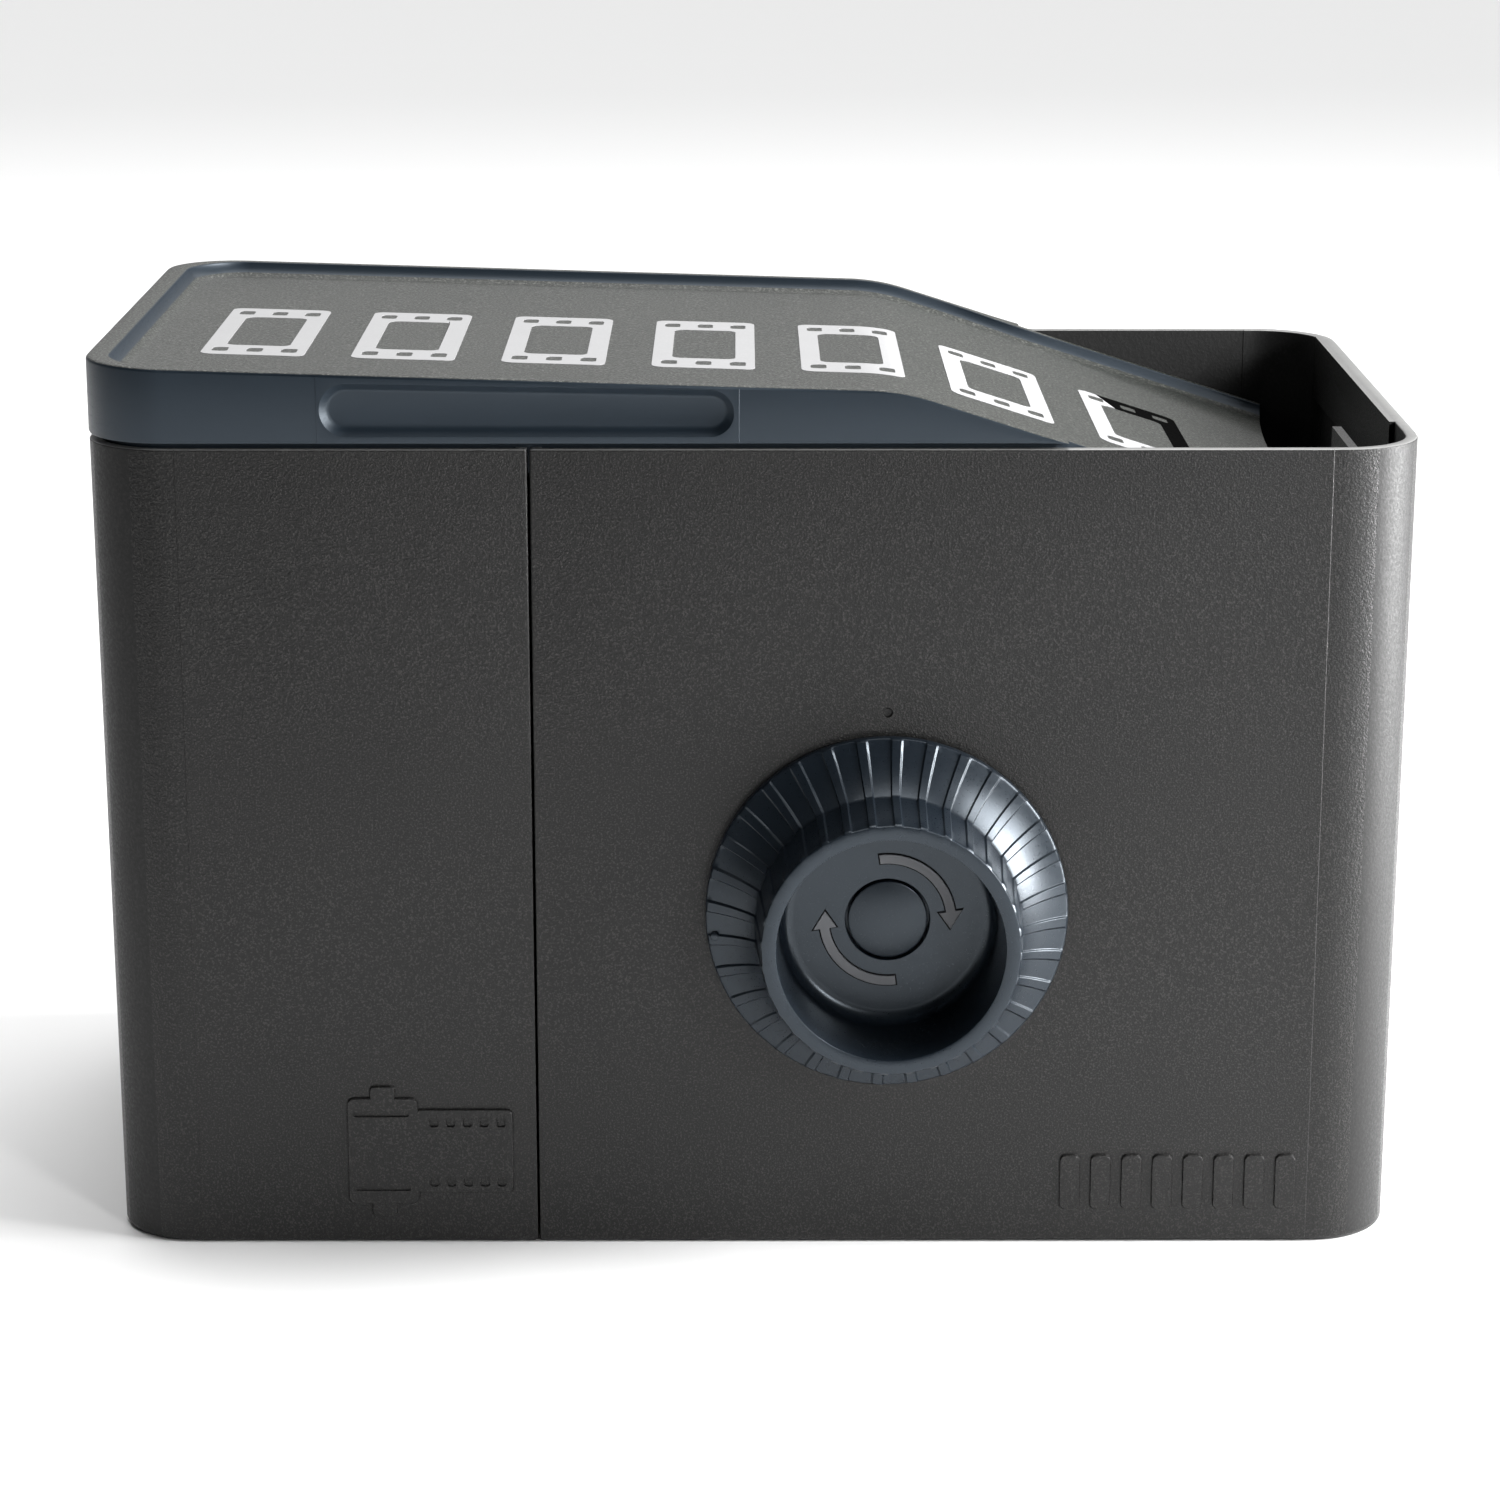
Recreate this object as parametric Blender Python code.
"""Daylight film developing tank: tank box, loading module, sloping lid, winding knob and spiral reel.

Frame: X runs from the loading module (left) to the pouring trough (right), Y from the knob side
(front) to the back, Z up. The origin is the middle of the base.
"""
from math import atan2, cos, pi, radians, sin, sqrt, tan

import bmesh
import bpy

# ---------------------------------------------------------------- driving dimensions, metres
BODY_WIDTH = 0.170
BODY_DEPTH = 0.097
BODY_HEIGHT = 0.1065
CORNER = 0.011
WALL = 0.0016
FLOOR = 0.0026
DRAFT = 0.0006
BASE_EDGE = 0.0009
GAP = 0.0003

LEFT = -BODY_WIDTH / 2
RIGHT = BODY_WIDTH / 2
FRONT = -BODY_DEPTH / 2
BACK = BODY_DEPTH / 2
TANK_LEFT = -0.02825
MODULE_RIGHT = TANK_LEFT - GAP

LID_GAP = 0.0007
LID_LEFT_TOP = 0.11705
LID_SLOPE = 0.030
LID_BEND_X = 0.0185
LID_BEND_RADIUS = 0.030
LID_TAIL_ANGLE = radians(17.8)
LID_TIP = 0.0755
LID_PLATE = 0.0016
LID_DISH = 0.0020
LID_RIM = 0.0016
LID_RIM_LEFT = 0.0030
TONGUE_INSET = WALL + GAP
TONGUE_WALL = 0.0015
TONGUE_DEPTH = 0.0033
TAIL_WALL_DEPTH = 0.0055
GRIP_DEPTH = 0.0011

AXIS_X = 0.0171
AXIS_Z = 0.0461
SHAFT_R = 0.0040
RUNNING = 0.0003
FLANGE_R = 0.0234
CUP_R = 0.0163
CUP_BORE_R = 0.0143
CUP_RIM_Y = -0.0661
FLARE_END_R = 0.0172
FLARE_OUTER_TILT = radians(27)
FLARE_INNER_TILT = radians(51)
CUP_FLOOR_Y = -0.0526
RIBS = 32

REEL_R = 0.0360
REEL_HALF_GAP = 0.0184
REEL_FLANGE = 0.0020
CORE_R = 0.0095
NECK_R = 0.0047
SOCKET_FLAT = 0.0035

CUTTER_X = -0.0450
CUTTER_Z = 0.0970
CUTTER_SHAFT_R = 0.0019
CUTTER_REST = radians(20)
BLADE_REACH = 0.0099

GUIDE_HALF = 0.0235
SLOT_LOW = 0.0938
SLOT_HIGH = 0.0953

RAIL_Y = 0.036
RAIL_TOP = 0.078
RAIL_NECK = 0.0016
RAIL_HEAD = 0.0036
RAIL_NECK_X = -0.0309
RAIL_HEAD_X = -0.0328
ROOT = 0.0008
PAST = 0.001
ARC_STEPS = 6

LIGHT_SILL_X = (0.0520, 0.0536)
SILL_TOP = 0.0150
WEIR_X = (0.0570, 0.0586)
WEIR_Z = (0.0080, 0.0900)
WEIR_RIB_X = (0.0560, 0.0596)
WEIR_RIB_TOP = 0.0880
BEAD_Y = (-0.029, 0.041)
BEAD_HEIGHT = 0.009
POUR_GUIDE_X = (0.0764, 0.0776)
POUR_GUIDE_END = -0.0215
WINDOW_HALF = 0.0246
WINDOW_SILL = 0.0907

SCREW_PILOT = 0.0013
BLADE_PILOT = 0.0012
GUIDE_SCREW_Y = 0.027
GUIDE_SCREW_Z = 0.0875
BLADE_SCREW_Y = 0.014
BLADE_SCREW_Z = 0.0890
CRADLE_SCREW_Y = 0.012
CRADLE_SCREW_Z = 0.0880


# ---------------------------------------------------------------- scene and materials
def clear_scene():
    for item in list(bpy.data.objects):
        bpy.data.objects.remove(item, do_unlink=True)


def material(name, colour, roughness, metallic=0.0):
    made = bpy.data.materials.new(name)
    made.use_nodes = True
    shader = made.node_tree.nodes["Principled BSDF"]
    shader.inputs["Base Color"].default_value = (*colour, 1.0)
    shader.inputs["Roughness"].default_value = roughness
    shader.inputs["Metallic"].default_value = metallic
    return made


def make_materials():
    return {
        "body": material("body_plastic", (0.032, 0.032, 0.034), 0.45),
        "lid": material("lid_plastic", (0.028, 0.034, 0.042), 0.42),
        "knob": material("knob_plastic", (0.018, 0.023, 0.030), 0.32),
        "inner": material("inner_plastic", (0.020, 0.020, 0.021), 0.50),
        "reel": material("reel_plastic", (0.62, 0.62, 0.60), 0.45),
        "steel": material("steel", (0.55, 0.56, 0.57), 0.30, 1.0),
        "rubber": material("rubber", (0.012, 0.012, 0.012), 0.75),
        "velvet": material("velvet", (0.010, 0.010, 0.010), 0.95),
        "ribbon": material("ribbon", (0.55, 0.10, 0.06), 0.40),
    }


# ---------------------------------------------------------------- mesh helpers
def arc(cx, cy, radius, start, end, steps=ARC_STEPS):
    """Points of an arc, angles in degrees, both ends included."""
    angles = [radians(start + (end - start) * k / steps) for k in range(steps + 1)]
    return [(cx + radius * cos(a), cy + radius * sin(a)) for a in angles]


def rounded(x0, x1, y0, y1, left_r, right_r):
    """Counter-clockwise outline of a box seen from above, with its own left and right radii."""
    outline = []
    corners = ((x0, y0, 1, 1, left_r, 180), (x1, y0, -1, 1, right_r, 270),
               (x1, y1, -1, -1, right_r, 0), (x0, y1, 1, -1, left_r, 90))
    for x, y, inward_x, inward_y, radius, start in corners:
        if radius > 0:
            outline += arc(x + inward_x * radius, y + inward_y * radius, radius, start, start + 90)
        else:
            outline.append((x, y))
    return outline


def finish_mesh(name, mesh_data, paint):
    bmesh.ops.recalc_face_normals(mesh_data, faces=mesh_data.faces)
    mesh = bpy.data.meshes.new(name)
    mesh_data.to_mesh(mesh)
    mesh_data.free()
    mesh.shade_smooth()
    mesh.set_sharp_from_angle(angle=radians(35))
    item = bpy.data.objects.new(name, mesh)
    bpy.context.scene.collection.objects.link(item)
    if paint:
        mesh.materials.append(paint)
    return item


def loft(name, rings, paint, ring_closed=False):
    """Skin a list of rings of 3-D points; the ends are capped unless the rings form a loop."""
    mesh_data = bmesh.new()
    rows = [[mesh_data.verts.new(point) for point in ring] for ring in rings]
    pairs = list(zip(rows, rows[1:]))
    if ring_closed:
        pairs.append((rows[-1], rows[0]))
    for lower, upper in pairs:
        count = len(lower)
        for k in range(count):
            after = (k + 1) % count
            mesh_data.faces.new((lower[k], lower[after], upper[after], upper[k]))
    if not ring_closed:
        mesh_data.faces.new(rows[0])
        mesh_data.faces.new(rows[-1])
    return finish_mesh(name, mesh_data, paint)


def prism_z(name, outline, z0, z1, paint=None):
    return loft(name, [[(x, y, z) for x, y in outline] for z in (z0, z1)], paint)


def prism_y(name, outline, y0, y1, paint=None):
    """Extrude an (x, z) outline along Y."""
    return loft(name, [[(x, y, z) for x, z in outline] for y in (y0, y1)], paint)


def block(name, x, y, z, paint=None):
    outline = [(x[0], y[0]), (x[1], y[0]), (x[1], y[1]), (x[0], y[1])]
    return prism_z(name, outline, z[0], z[1], paint)


def ring_y(cx, cz, radius, y, steps):
    """A ring about the Y direction; radius is a number or a function of the angle."""
    points = []
    for k in range(steps):
        angle = 2 * pi * k / steps
        reach = radius(angle) if callable(radius) else radius
        points.append((cx + reach * sin(angle), y, cz + reach * cos(angle)))
    return points


def turned_y(name, centre, profile, paint, steps=32, hollow=False):
    """Turn (radius, y) pairs about the Y direction; a hollow profile is a closed loop of pairs."""
    rings = [ring_y(centre[0], centre[1], radius, y, steps) for radius, y in profile]
    return loft(name, rings, paint, ring_closed=hollow)


def hexagon(flat):
    """Radius of a hexagonal bar at an angle, from half of its width across flats."""
    return lambda angle: flat / cos((angle % (pi / 3)) - pi / 6)


def boolean(body, tool, operation):
    tool.hide_render = True
    tool.display_type = "WIRE"
    step = body.modifiers.new(tool.name, "BOOLEAN")
    step.operation = operation
    step.object = tool
    return body


def cut(body, *tools):
    for tool in tools:
        boolean(body, tool, "DIFFERENCE")
    return body


def join(body, *tools):
    for tool in tools:
        boolean(body, tool, "UNION")
    return body


def screw(name, head_end, direction, head_r, head_h, shank_r, shank_l, paint):
    """Pan-head screw; head_end is the middle of its outer face, direction runs into the hole."""
    stations = ((head_r * 0.7, 0.0), (head_r, head_h * 0.35), (head_r, head_h), (shank_r, head_h),
                (shank_r, head_h + shank_l))
    dx, dy, dz = direction
    side = (dy, dz, dx)
    other = (dz, dx, dy)
    rings = []
    for radius, along in stations:
        ring = []
        for k in range(12):
            angle = 2 * pi * k / 12
            ring.append([head_end[i] + direction[i] * along + radius * (cos(angle) * side[i]
                         + sin(angle) * other[i]) for i in range(3)])
        rings.append(ring)
    return loft(name, rings, paint)


def pivot(name, x, y, z, items):
    """An empty on a joint's axis that carries the pieces that move with the joint."""
    empty = bpy.data.objects.new(name, None)
    bpy.context.scene.collection.objects.link(empty)
    empty.location = (x, y, z)
    for item in items:
        item.parent = empty
        item.location = (-x, -y, -z)
    return empty


# ---------------------------------------------------------------- tank box
def box_rings(x0, x1, left_r, right_r, left_draft, right_draft, inset, levels):
    """Rings of a drafted box wall; levels are (z, extra inset) pairs from the base up."""
    rings = []
    for z, extra in levels:
        draft = DRAFT * (1 - z / BODY_HEIGHT) + extra
        side = inset + draft
        left = side if left_draft else 0.0
        right = side if right_draft else 0.0
        outline = rounded(x0 + left, x1 - right, FRONT + side, BACK - side,
                          max(left_r - side, 0), max(right_r - side, 0))
        rings.append([(x, y, z) for x, y in outline])
    return rings


OUTER_LEVELS = ((0.0, BASE_EDGE), (BASE_EDGE * 0.3, BASE_EDGE * 0.3), (BASE_EDGE, 0.0), (BODY_HEIGHT, 0.0))
INNER_LEVELS = ((FLOOR, 0.0015), (FLOOR + 0.0015, 0.0), (BODY_HEIGHT + 0.002, 0.0))


def make_tank(paints):
    rings = box_rings(TANK_LEFT, RIGHT, 0, CORNER, False, True, 0.0, OUTER_LEVELS)
    tank = loft("tank_body", rings, paints["body"])
    cavity = box_rings(TANK_LEFT + WALL, RIGHT, 0, CORNER, False, True, WALL, INNER_LEVELS)
    cut(tank, loft("cut_tank_cavity", cavity, None))
    inner_x = RIGHT - WALL
    bead_out, bead_root, rib_half, rib_depth = 0.0007, 0.0006, 0.0007, 0.0028
    bead = block("add_rim_bead", (inner_x - bead_out, inner_x + bead_root), BEAD_Y,
                 (BODY_HEIGHT - BEAD_HEIGHT, BODY_HEIGHT))
    guide = block("add_pour_guide", POUR_GUIDE_X, (FRONT + WALL - ROOT, POUR_GUIDE_END),
                  (BODY_HEIGHT - 0.014, BODY_HEIGHT - 0.002))
    sill = block("add_light_sill", LIGHT_SILL_X, (FRONT + PAST, BACK - PAST), (FLOOR - PAST, SILL_TOP))
    join(tank, bead, guide, sill)
    near, far = FRONT + ROOT, BACK - ROOT
    for k, x in enumerate(WEIR_RIB_X):
        for side, span in enumerate(((near, near + rib_depth), (far - rib_depth, far))):
            join(tank, block(f"add_weir_rib_{k}{side}", (x - rib_half, x + rib_half), span,
                             (FLOOR - PAST, WEIR_RIB_TOP)))
    rail_foot, rail_root_x = 0.004, TANK_LEFT + 0.0005
    for k, y in enumerate((-RAIL_Y, RAIL_Y)):
        half = [(rail_root_x, RAIL_NECK), (RAIL_NECK_X, RAIL_NECK), (RAIL_NECK_X, RAIL_HEAD),
                (RAIL_HEAD_X, RAIL_HEAD)]
        outline = [(x, y + out) for x, out in half] + [(x, y - out) for x, out in half[::-1]]
        join(tank, prism_z(f"add_rail_{k}", outline, rail_foot, RAIL_TOP))
    window = block("cut_tank_window", (TANK_LEFT - PAST, TANK_LEFT + WALL + PAST),
                   (-WINDOW_HALF, WINDOW_HALF), (WINDOW_SILL, BODY_HEIGHT + 2 * PAST))
    hole_r = 0.0073
    bore = turned_y("cut_shaft_hole", (AXIS_X, AXIS_Z), ((hole_r, FRONT - 2 * PAST), (hole_r, FRONT + 4 * PAST)),
                    None, 24)
    return cut(tank, window, bore)


def make_weir(paints):
    side_play = 0.0006
    half = BACK - WALL - DRAFT - side_play
    return block("pour_weir", WEIR_X, (-half, half), WEIR_Z, paints["inner"])


def make_gland(paints):
    """Front bush, its seal ring and the ring that holds the seal."""
    axis = (AXIS_X, AXIS_Z)
    bore = SHAFT_R + RUNNING
    bush = ((bore, -0.0482), (0.0070, -0.0482), (0.0070, -0.0462), (0.0110, -0.0462), (0.0110, -0.0450),
            (0.0082, -0.0450), (0.0082, -0.0428), (0.0066, -0.0428), (0.0066, -0.0450), (bore, -0.0450))
    turned_y("shaft_bush", axis, bush, paints["inner"], 32, True)
    seal_r, seal_y, seal_half = 0.00525, -0.0438, 0.0009
    section = [(seal_r + seal_half * cos(a), seal_y + seal_half * sin(a))
               for a in (2 * pi * k / 8 for k in range(8))]
    turned_y("shaft_seal_ring", axis, section, paints["rubber"], 24, True)
    cap = ((0.0045, -0.0425), (0.0082, -0.0425), (0.0082, -0.0417), (0.0045, -0.0417))
    turned_y("gland_cap", axis, cap, paints["inner"], 24, True)


def make_reel_rest(paints):
    """Open bearing on the back wall that the reel's axle drops into."""
    slot, half, low, high, face_y = 0.0028, 0.007, 0.036, 0.053, 0.0400
    outline = [(AXIS_X - half, low), (AXIS_X + half, low), (AXIS_X + half, high), (AXIS_X + slot, high)]
    outline += arc(AXIS_X, AXIS_Z, slot, 0, -180, 8)
    outline += [(AXIS_X - slot, high), (AXIS_X - half, high)]
    prism_y("reel_rest", outline, face_y, BACK - WALL - DRAFT - GAP, paints["inner"])


# ---------------------------------------------------------------- winding knob and shaft
def flare_points(radius, y, steps):
    """(radius, y, ribbed) down the knob's flare, which steepens from its outer edge to the cup's wall."""
    points = [(radius, y, 1)]
    run = (radius - FLARE_END_R) / steps
    for k in range(steps):
        tilt = FLARE_OUTER_TILT + (FLARE_INNER_TILT - FLARE_OUTER_TILT) * (k + 0.5) / steps
        radius -= run
        y -= run * tan(tilt)
        points.append((radius, y, 1))
    return points


def make_knob(paints):
    axis = (AXIS_X, AXIS_Z)
    columns = RIBS * 2
    back = FRONT - 0.0004
    bore_r, groove_r, floor_back_y = 0.0018, 0.00555, -0.0502
    profile = [(bore_r, back, 0), (FLANGE_R, back, 0), (FLANGE_R, -0.0500, 0)]
    profile += flare_points(FLANGE_R - 0.0004, -0.0502, 4)
    profile += [(0.0169, -0.0559, 1), (0.0164, CUP_RIM_Y + 0.0010, 1)]
    profile += [(CUP_R, CUP_RIM_Y, 0), (CUP_BORE_R, CUP_RIM_Y, 0), (0.0138, CUP_FLOOR_Y - 0.0016, 0),
                (0.0134, CUP_FLOOR_Y - 0.0005, 0), (0.0124, CUP_FLOOR_Y, 0), (groove_r, CUP_FLOOR_Y, 0),
                (groove_r, floor_back_y, 0), (bore_r, floor_back_y, 0)]
    rib = 0.00035
    rings = []
    for radius, y, ribbed in profile:
        def reach(angle, radius=radius, ribbed=ribbed):
            raised = round(angle / (2 * pi) * columns) % 2
            return radius + (rib * 0.5 if raised else 0) * ribbed
        ring = ring_y(*axis, reach, y, columns)
        for k, point in enumerate(ring):
            ring[k] = (point[0], point[1] - rib * ribbed * (k % 2), point[2])
        rings.append(ring)
    knob = loft("knob", rings, paints["knob"], ring_closed=True)
    cap_r = 0.0051
    cap = ((cap_r, CUP_FLOOR_Y), (cap_r, CUP_FLOOR_Y + 0.0008))
    disc = turned_y("knob_cap", axis, cap, paints["knob"], 32)
    fixing = screw("knob_screw", (AXIS_X, -0.0515, AXIS_Z), (0, 1, 0), 0.0030, 0.0010, 0.0014, 0.0090,
                   paints["steel"])
    return [knob, disc, fixing]


def make_shaft(paints):
    """Winding shaft: round through the bush, hexagonal where the reel's core takes it."""
    axis = (AXIS_X, AXIS_Z)
    key = hexagon(SOCKET_FLAT - RUNNING)
    stations = ((0.0018, -0.0390), (0.0018, -0.0486), (SHAFT_R, -0.0486), (SHAFT_R, -0.0245), (key, -0.0240),
                (key, -0.0105))
    rings = [ring_y(*axis, reach, y, 24) for reach, y in stations]
    shaft = loft("winding_shaft", rings, paints["steel"])
    collar = ((0.0042, -0.0275), (0.0062, -0.0275), (0.0062, -0.0260), (0.0042, -0.0260))
    stop = turned_y("stop_collar", axis, collar, paints["steel"], 24, True)
    return [shaft, stop]


# ---------------------------------------------------------------- reel
def make_reel_flange(name, y0, y1, paints):
    axis = (AXIS_X, AXIS_Z)
    bore_r, window_out, window_in, windows = 0.0050, 0.0300, 0.0165, 10
    disc = turned_y(name, axis, ((REEL_R, y0), (REEL_R, y1)), paints["reel"], 48)
    cut(disc, turned_y(f"cut_{name}_bore", axis, ((bore_r, y0 - PAST), (bore_r, y1 + PAST)), None, 24))
    for k in range(windows):
        middle = 360 * k / windows
        outline = arc(*axis, window_out, middle - 13, middle + 13, 4)
        outline += arc(*axis, window_in, middle + 9, middle - 9, 3)
        cut(disc, prism_y(f"cut_{name}_{k}", outline, y0 - PAST, y1 + PAST))
    return disc


def make_reel(paints):
    axis = (AXIS_X, AXIS_Z)
    inner = REEL_HALF_GAP - GAP
    end = REEL_HALF_GAP + REEL_FLANGE + 0.0021
    socket = hexagon(SOCKET_FLAT)
    core_rings = [ring_y(*axis, reach, y, 24) for reach, y in (
        (socket, -0.0095), (socket, -end), (NECK_R, -end), (NECK_R, -inner), (CORE_R, -inner), (CORE_R, inner),
        (NECK_R, inner), (NECK_R, end), (0.0028, end), (0.0028, 0.0120))]
    core = loft("reel_core", core_rings, paints["reel"])
    front = make_reel_flange("reel_flange_front", -REEL_HALF_GAP - REEL_FLANGE, -REEL_HALF_GAP, paints)
    rear = make_reel_flange("reel_flange_rear", REEL_HALF_GAP, REEL_HALF_GAP + REEL_FLANGE, paints)
    axle = turned_y("reel_axle", axis, ((0.0025, 0.0125), (0.0025, 0.0450)), paints["steel"], 16)
    return [core, front, rear, axle, make_ribbon(paints), make_clip(paints)]


def make_ribbon(paints):
    """Pull ribbon wound on the core, which draws the film's end into the reel."""
    turns, steps, thickness, half, start_r, lead = 3, 20, 0.0004, 0.0140, 0.0099, 0.0008
    rings = []
    for k in range(turns * steps + 1):
        angle = 2 * pi * k / steps
        radius = start_r + lead * k / steps
        corners = ((radius, -half), (radius, half), (radius + thickness, half), (radius + thickness, -half))
        rings.append([(AXIS_X + r * sin(angle), y, AXIS_Z + r * cos(angle)) for r, y in corners])
    return loft("pull_ribbon", rings, paints["ribbon"])


def make_clip(paints):
    """Spring clip at the ribbon's free end, curved to lie on the winding."""
    inner_r, outer_r, half = 0.0132, 0.0142, 0.0150
    outline = arc(AXIS_X, AXIS_Z, inner_r, 68, 112, 6) + arc(AXIS_X, AXIS_Z, outer_r, 112, 68, 6)
    return prism_y("film_clip", outline, -half, half, paints["steel"])


# ---------------------------------------------------------------- loading module
def make_module(paints):
    rings = box_rings(LEFT, MODULE_RIGHT, CORNER, 0, True, False, 0.0, OUTER_LEVELS)
    shell = loft("module_shell", rings, paints["body"])
    cavity = box_rings(LEFT, MODULE_RIGHT - WALL, CORNER, 0, True, False, WALL, INNER_LEVELS)
    cut(shell, loft("cut_module_cavity", cavity, None))
    wall_x = (MODULE_RIGHT - WALL - PAST, MODULE_RIGHT + PAST)
    window_half, window_sill, slot_play, foot_x, foot_play = 0.0242, 0.0913, 0.0006, -0.0340, 0.0021
    cut(shell, block("cut_module_window", wall_x, (-window_half, window_half), (window_sill, BODY_HEIGHT + 2 * PAST)))
    slot_half, foot_half = RAIL_NECK + slot_play, RAIL_HEAD + slot_play
    for k, y in enumerate((-RAIL_Y, RAIL_Y)):
        cut(shell, block(f"cut_rail_slot_{k}", wall_x, (y - slot_half, y + slot_half), (-PAST, RAIL_TOP + 2 * PAST)))
        cut(shell, block(f"cut_rail_foot_{k}", (foot_x, MODULE_RIGHT + PAST), (y - foot_half, y + foot_half),
                         (-PAST, FLOOR + foot_play)))
    axis = (CUTTER_X, CUTTER_Z)
    boss_r, socket_r, hole_r, boss_end = 0.0040, 0.0022, 0.0036, -0.0420
    boss = turned_y("add_cutter_boss", axis, ((boss_r, FRONT + ROOT), (boss_r, boss_end)), None, 20)
    join(shell, boss)
    cut(shell, turned_y("cut_cutter_socket", axis, ((socket_r, -0.0458), (socket_r, boss_end + PAST)), None, 16))
    cut(shell, turned_y("cut_cutter_hole", axis, ((hole_r, 0.0440), (hole_r, BACK + PAST)), None, 20))
    cut(shell, *pilots("cut_guide_pilot", (-0.0320, -0.0295), GUIDE_SCREW_Y, GUIDE_SCREW_Z, SCREW_PILOT))
    cut(shell, *pilots("cut_cradle_pilot", (-0.0842, -0.0825), CRADLE_SCREW_Y, CRADLE_SCREW_Z, SCREW_PILOT))
    return shell


def pilots(name, x, side_y, z, half):
    """Two square screw holes along X, one at each side of the middle."""
    return [block(f"{name}_{k}", x, (y - half, y + half), (z - half, z + half))
            for k, y in enumerate((-side_y, side_y))]


def make_guide(paints):
    """Light-tight film guide through the module's side: two plates, cheeks and velvet strips."""
    left, step_x, right, low, shelf = -0.0342, -0.0307, -0.0200, 0.0860, 0.0917
    outline = [(left, low), (step_x, low), (step_x, shelf), (right, shelf), (right, SLOT_LOW), (left, SLOT_LOW)]
    lower = prism_y("film_guide_lower", outline, -GUIDE_HALF, GUIDE_HALF, paints["inner"])
    foot_half, foot_z = 0.0300, (0.0840, 0.0908)
    foot = block("add_guide_foot", (left, step_x), (-foot_half, foot_half), foot_z)
    cheek_x, cheek_in, cheek_out = (-0.0335, -0.0205), 0.0182, 0.0232
    cheeks = [block(f"add_guide_cheek_{k}", cheek_x, span, (SLOT_LOW - 0.0005, SLOT_HIGH - GAP))
              for k, span in enumerate(((-cheek_out, -cheek_in), (cheek_in, cheek_out)))]
    join(lower, foot, *cheeks)
    cut(lower, *pilots("cut_guide_hole", (-0.036, -0.029), GUIDE_SCREW_Y, GUIDE_SCREW_Z, SCREW_PILOT))
    cut(lower, *pilots("cut_blade_pilot", (-0.036, -0.0315), BLADE_SCREW_Y, BLADE_SCREW_Z, BLADE_PILOT))
    upper = block("film_guide_upper", (-0.0334, right), (-GUIDE_HALF, GUIDE_HALF), (SLOT_HIGH, 0.0990),
                  paints["inner"])
    pile_x, pile_y, pile_gap, pile = (-0.0295, -0.0225), (-0.0179, 0.0179), 0.0001, 0.0004
    velvets = [block("velvet_lower", pile_x, pile_y, (SLOT_LOW + pile_gap, SLOT_LOW + pile_gap + pile),
                     paints["velvet"]),
               block("velvet_upper", pile_x, pile_y, (SLOT_HIGH - pile_gap - pile, SLOT_HIGH - pile_gap),
                     paints["velvet"])]
    blade_x, blade_half, blade_z = (-0.0349, -0.0344), 0.0210, (0.0862, 0.0939)
    counter = block("counter_blade", blade_x, (-blade_half, blade_half), blade_z, paints["steel"])
    cut(counter, *pilots("cut_counter", (-0.036, -0.033), BLADE_SCREW_Y, BLADE_SCREW_Z, BLADE_PILOT))
    fixings = [screw(f"guide_screw_{k + 1}", (-0.0354, y, GUIDE_SCREW_Z), (1, 0, 0), 0.0020, 0.0010, 0.0010, 0.0048,
                     paints["steel"]) for k, y in enumerate((-GUIDE_SCREW_Y, GUIDE_SCREW_Y))]
    fixings += [screw(f"counter_screw_{k + 1}", (-0.0361, y, BLADE_SCREW_Z), (1, 0, 0), 0.0019, 0.0010, 0.0009,
                      0.0028, paints["steel"]) for k, y in enumerate((-BLADE_SCREW_Y, BLADE_SCREW_Y))]
    return [lower, upper, counter, *velvets, *fixings]


def make_cradle(paints):
    """Seat for a 35 mm cassette, screwed to the module's left wall."""
    seat_x, seat_z, seat_r, lip_drop = -0.0640, 0.0820, 0.0130, 0.004
    left, plate_x, right, low, high, half = -0.0829, -0.0805, -0.0500, 0.0660, 0.0920, 0.0254
    outline = [(left, low), (right, low), (right, seat_z - lip_drop)]
    start = atan2(-lip_drop, sqrt(seat_r ** 2 - lip_drop ** 2)) * 180 / pi
    outline += arc(seat_x, seat_z, seat_r, start, -180 - start, 12)
    outline += [(plate_x, seat_z - lip_drop), (plate_x, high), (left, high)]
    cradle = prism_y("cassette_cradle", outline, -half, half, paints["inner"])
    end_x, end_z, end_plate = (-0.0800, right), (0.0662, 0.0760), 0.0018
    for k, span in enumerate(((-half, end_plate - half), (half - end_plate, half))):
        join(cradle, block(f"add_cradle_end_{k}", end_x, span, end_z))
    cut(cradle, *pilots("cut_cradle_hole", (-0.0835, -0.0795), CRADLE_SCREW_Y, CRADLE_SCREW_Z, SCREW_PILOT))
    fixings = [screw(f"cradle_screw_{k + 1}", (-0.0792, y, CRADLE_SCREW_Z), (-1, 0, 0), 0.0020, 0.0010, 0.0010,
                     0.0036, paints["steel"]) for k, y in enumerate((-CRADLE_SCREW_Y, CRADLE_SCREW_Y))]
    return [cradle, *fixings]


# ---------------------------------------------------------------- film cutter
def turn_about_cutter(points, angle):
    """Turn (x, z) points, given relative to the cutter's axis, and place them on it."""
    return [(CUTTER_X + x * cos(angle) - z * sin(angle), CUTTER_Z + x * sin(angle) + z * cos(angle))
            for x, z in points]


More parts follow.
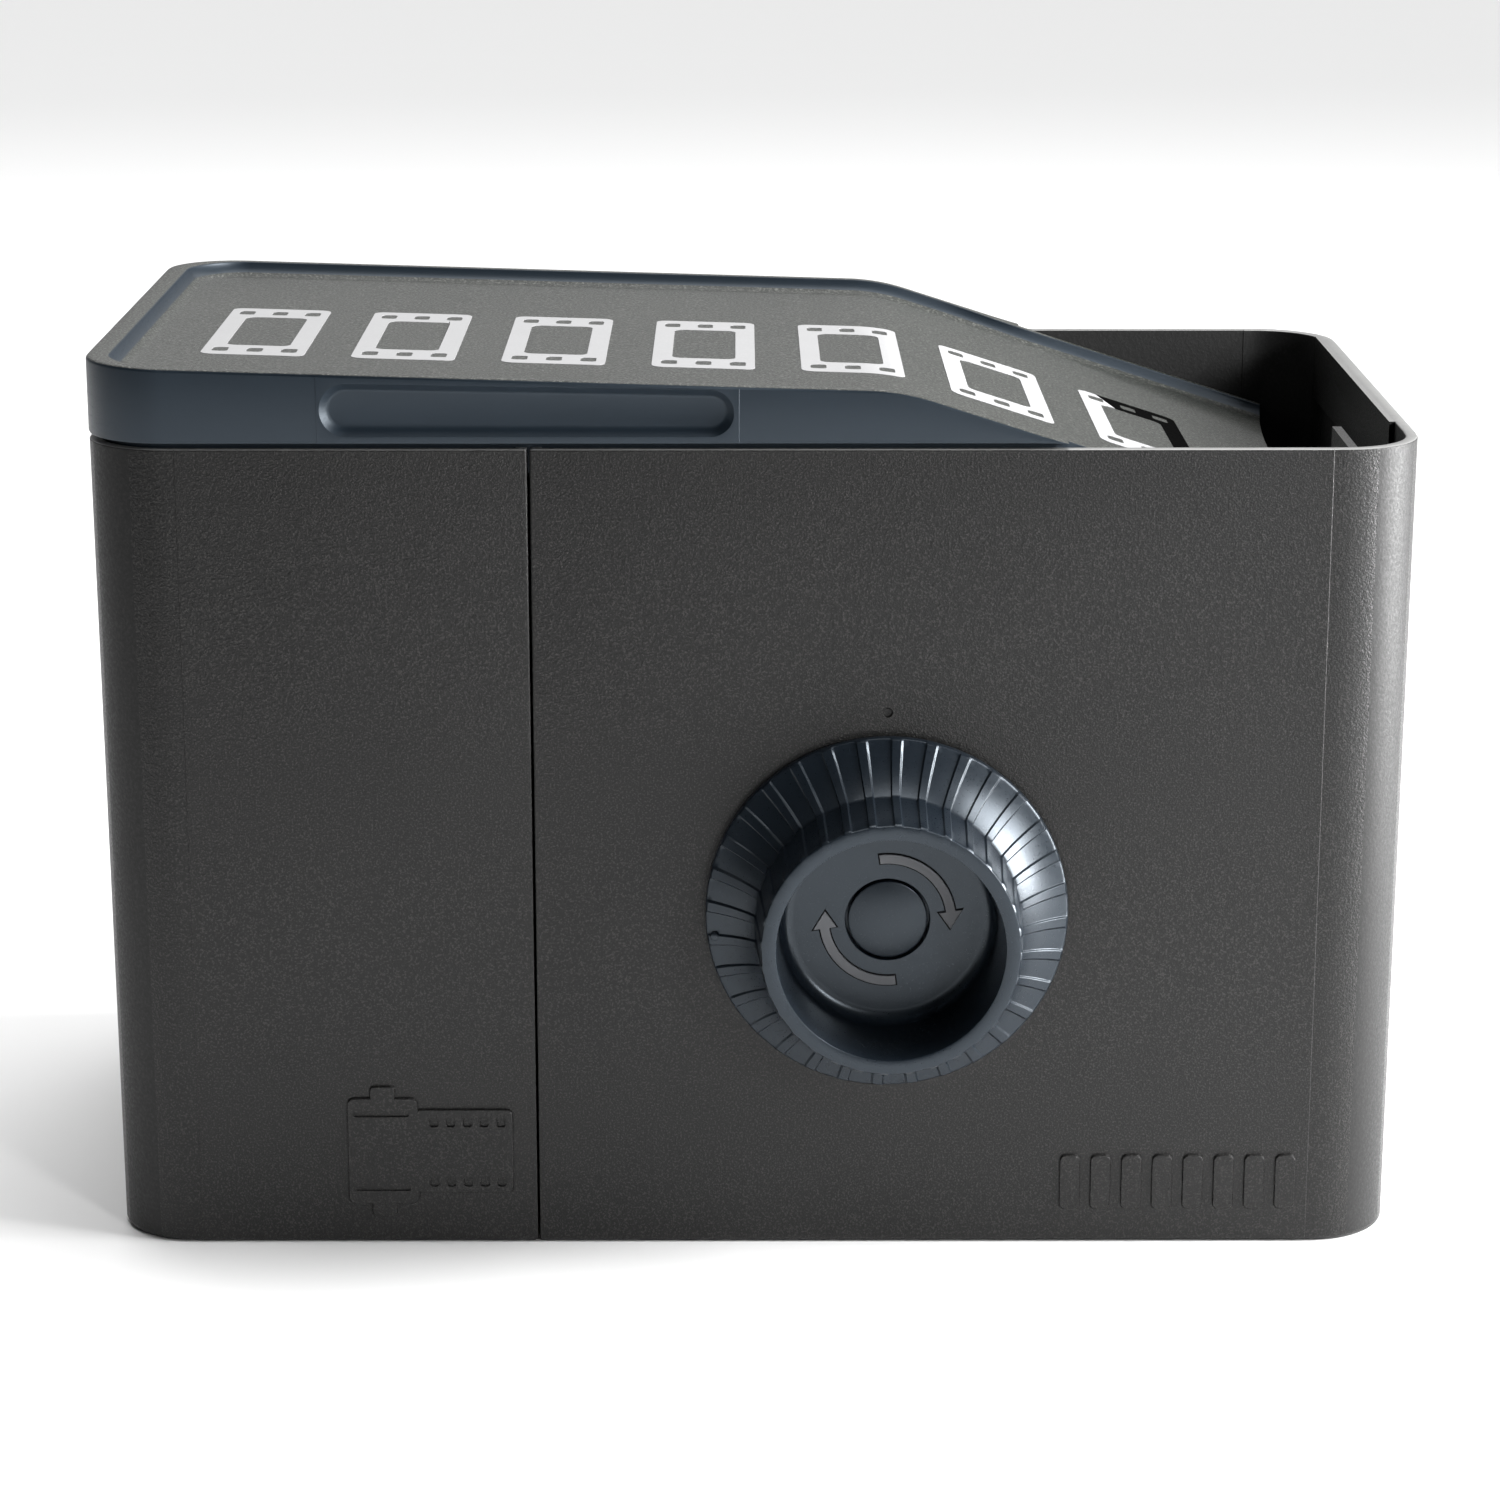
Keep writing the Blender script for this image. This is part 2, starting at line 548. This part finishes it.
def make_cutter(paints):
    axis = (CUTTER_X, CUTTER_Z)
    thread_r, end_y = 0.0012, 0.0524
    shaft_stations = ((thread_r, 0.0460), (thread_r, end_y), (CUTTER_SHAFT_R, end_y), (CUTTER_SHAFT_R, -0.0445))
    shaft = turned_y("cutter_shaft", axis, shaft_stations, paints["steel"], 16)
    hub_r = 0.0036
    opening = radians(22)
    hub = [(hub_r * cos(a), hub_r * sin(a)) for a in
           (opening + (2 * pi - 2 * opening) * k / 14 for k in range(15))]
    arm_x, arm_half, bore_r, half, blade_half = 0.0080, 0.0012, 0.0022, 0.0210, 0.0195
    root_x, root_half = hub_r * cos(opening), arm_half + 0.0001
    arm = [(root_x, -root_half), (arm_x, -arm_half), (arm_x, arm_half), (root_x, root_half)]
    carrier = prism_y("blade_carrier", turn_about_cutter(hub + arm, CUTTER_REST), -half, half, paints["inner"])
    bore_end = half + 2 * PAST
    cut(carrier, turned_y("cut_carrier_bore", axis, ((bore_r, -bore_end), (bore_r, bore_end)), None, 16))
    blade_root, under, over, bevel = 0.0044, -0.0021, -0.0015, 0.0007
    strip = [(blade_root, under), (BLADE_REACH, under), (BLADE_REACH - bevel, over), (blade_root, over)]
    blade = prism_y("cutter_blade", turn_about_cutter(strip, CUTTER_REST), -blade_half, blade_half, paints["steel"])
    lever = make_lever(paints)
    return [shaft, carrier, blade, *lever]


def make_lever(paints):
    """Lever on the back of the module that swings the blade down."""
    axis = (CUTTER_X, CUTTER_Z)
    reach, hub_r, tip_r = 0.0220, 0.0052, 0.0042
    side = radians(6)
    outline = arc(*axis, hub_r, -side * 180 / pi, 180 + side * 180 / pi, 12)
    outline += arc(axis[0], axis[1] - reach, tip_r, 180, 360, 8)
    lever = prism_y("cutter_lever", outline, BACK + 0.0008, BACK + 0.0040, paints["knob"])
    cut(lever, turned_y("cut_lever_bore", axis, ((0.0022, BACK), (0.0022, BACK + 0.006)), None, 16))
    pad = turned_y("add_lever_pad", (axis[0], axis[1] - reach), ((0.0040, BACK + 0.003), (0.0033, BACK + 0.0056)),
                   None, 16)
    join(lever, pad)
    fixing = screw("lever_screw", (CUTTER_X, BACK + 0.0054, CUTTER_Z), (0, -1, 0), 0.0031, 0.0011, 0.0009,
                   0.0060, paints["steel"])
    return [lever, fixing]


def make_cutter_bush(paints):
    axis = (CUTTER_X, CUTTER_Z)
    profile = ((0.0022, 0.0451), (0.0050, 0.0451), (0.0050, 0.0463), (0.0033, 0.0463), (0.0033, 0.0488),
               (0.0022, 0.0488))
    return turned_y("cutter_bush", axis, profile, paints["inner"], 20, True)


def make_return_spring(paints):
    """Torsion spring round the cutter's shaft."""
    coil_r, wire_r, start_y, pitch, turns, steps = 0.0032, 0.00035, 0.0250, 0.0011, 6, 14
    rings = []
    for k in range(turns * steps + 1):
        angle = 2 * pi * k / steps
        y = start_y + pitch * k / steps
        ring = []
        for j in range(6):
            turn = 2 * pi * j / 6
            reach = coil_r + wire_r * cos(turn)
            ring.append((CUTTER_X + reach * sin(angle), y + wire_r * sin(turn), CUTTER_Z + reach * cos(angle)))
        rings.append(ring)
    return loft("cutter_return_spring", rings, paints["steel"])


# ---------------------------------------------------------------- lid
def lid_top_points(x0, x1, drop):
    """Side profile of the lid's top, lowered by drop: a gentle fall, a bend and the tail."""
    bend_z = LID_LEFT_TOP - LID_SLOPE * (LID_BEND_X - LEFT)
    half_turn = (LID_TAIL_ANGLE - LID_SLOPE) / 2
    reach = LID_BEND_RADIUS * tan(half_turn)
    start_x = LID_BEND_X - reach * cos(LID_SLOPE)
    centre = (start_x - LID_BEND_RADIUS * sin(LID_SLOPE),
              bend_z + LID_SLOPE * (LID_BEND_X - start_x) - LID_BEND_RADIUS * cos(LID_SLOPE))
    points = [(x0, LID_LEFT_TOP - LID_SLOPE * (x0 - LEFT) - drop)]
    steps = 6
    for k in range(steps + 1):
        lean = LID_SLOPE + (LID_TAIL_ANGLE - LID_SLOPE) * k / steps
        points.append((centre[0] + LID_BEND_RADIUS * sin(lean), centre[1] + LID_BEND_RADIUS * cos(lean) - drop))
    points.append((x1, bend_z - (x1 - LID_BEND_X) * tan(LID_TAIL_ANGLE) - drop))
    return points


def above_lid(name, x0, drop):
    """Everything above the lid's top profile lowered by drop."""
    x1, sky, half = 0.095, 0.140, 0.070
    outline = [(x1, sky), (x0, sky)] + lid_top_points(x0, x1, drop)
    return prism_y(name, outline, -half, half)


def grip_recess(name, face_y, inward):
    """Long finger recess with round ends and sloping sides, cut into a skirt face."""
    left_end, right_end, low, left_r, right_r, slope = -0.0544, -0.0026, 0.1082, 0.0033, 0.0029, 0.0009
    rings = []
    for depth, shrink in ((-0.0010, 0.0), (0.0, 0.0), (GRIP_DEPTH, slope)):
        outline = arc(left_end + left_r, low + left_r, left_r - shrink, 90, 270, 8)
        outline += arc(right_end - right_r, low + right_r, right_r - shrink, 270, 450, 8)
        rings.append([(x, face_y + inward * depth, z) for x, z in outline])
    return loft(name, rings, None)


def make_lid(paints):
    skirt_z = BODY_HEIGHT + LID_GAP
    skirt_end, sky = 0.048, 0.122
    shell = prism_z("lid_shell", rounded(LEFT, skirt_end, FRONT, BACK, CORNER, 0), skirt_z, sky, paints["lid"])
    inset = TONGUE_INSET
    tail = prism_z("add_lid_tail", rounded(LEFT + inset, LID_TIP, FRONT + inset, BACK - inset, CORNER - inset, 0),
                   0.085, sky - 0.0005)
    reach = 0.095
    under = [(-reach, 0.080), (reach, 0.080)]
    tongue_z = BODY_HEIGHT - TONGUE_DEPTH
    bend_z = LID_LEFT_TOP - LID_SLOPE * (LID_BEND_X - LEFT)
    turn_x = LID_BEND_X + (bend_z - TAIL_WALL_DEPTH - tongue_z) / tan(LID_TAIL_ANGLE)
    under += [(reach, tongue_z - (reach - turn_x) * tan(LID_TAIL_ANGLE)), (turn_x, tongue_z), (-reach, tongue_z)]
    cut(tail, prism_y("cut_under_tail", under, -0.070, 0.070))
    join(shell, tail)
    hollow = inset + TONGUE_WALL
    cavity = prism_z("cut_lid_cavity", rounded(LEFT + hollow, LID_TIP - TONGUE_WALL, FRONT + hollow, BACK - hollow,
                                               CORNER - hollow, 0), 0.070, 0.121)
    cut(cavity, above_lid("cut_cavity_top", -reach, LID_DISH + LID_PLATE))
    rim_y = BACK - LID_RIM
    tail_y = BACK - inset - LID_RIM
    dish_left = rounded(LEFT + LID_RIM_LEFT, 0.0, -rim_y, rim_y, CORNER - LID_RIM_LEFT, 0)
    corner_count = ARC_STEPS + 1
    front_arc, rear_arc = dish_left[:corner_count], dish_left[-corner_count:]
    narrowing_start, narrowing_end, past_tip = 0.0365, 0.0405, 0.090
    flank = [(narrowing_start, rim_y), (narrowing_end, tail_y), (past_tip, tail_y)]
    dish_outline = front_arc + [(x, -y) for x, y in flank] + flank[::-1] + rear_arc
    dish = prism_z("cut_lid_dish", dish_outline, 0.080, 0.124)
    above = above_lid("keep_dish_above", -0.096, LID_DISH)
    boolean(dish, above, "INTERSECT")
    cut(shell, above_lid("cut_above_lid", -0.097, 0.0), cavity, dish)
    notch_x = (-0.0316, -0.0252)
    cut(shell, block("cut_tongue_notch", notch_x, (-0.060, 0.060), (0.095, skirt_z)))
    cut(shell, grip_recess("cut_grip_front", FRONT, 1), grip_recess("cut_grip_back", BACK, -1))
    baffle_x, baffle_half, baffle_low = (0.0620, 0.0634), 0.0440, 0.0800
    baffle_top = bend_z - (baffle_x[1] - LID_BEND_X) * tan(LID_TAIL_ANGLE) - LID_DISH - LID_PLATE - GAP
    baffle = block("lid_light_baffle", baffle_x, (-baffle_half, baffle_half), (baffle_low, baffle_top),
                   paints["inner"])
    return [shell, baffle]


# ---------------------------------------------------------------- assembly
def main():
    clear_scene()
    paints = make_materials()
    make_tank(paints)
    make_weir(paints)
    make_gland(paints)
    make_reel_rest(paints)
    make_module(paints)
    make_guide(paints)
    make_cradle(paints)
    make_cutter_bush(paints)
    make_return_spring(paints)
    make_lid(paints)
    pivot("winding_axis", AXIS_X, 0, AXIS_Z, make_reel(paints) + make_knob(paints) + make_shaft(paints))
    pivot("cutter_axis", CUTTER_X, 0, CUTTER_Z, make_cutter(paints))


main()
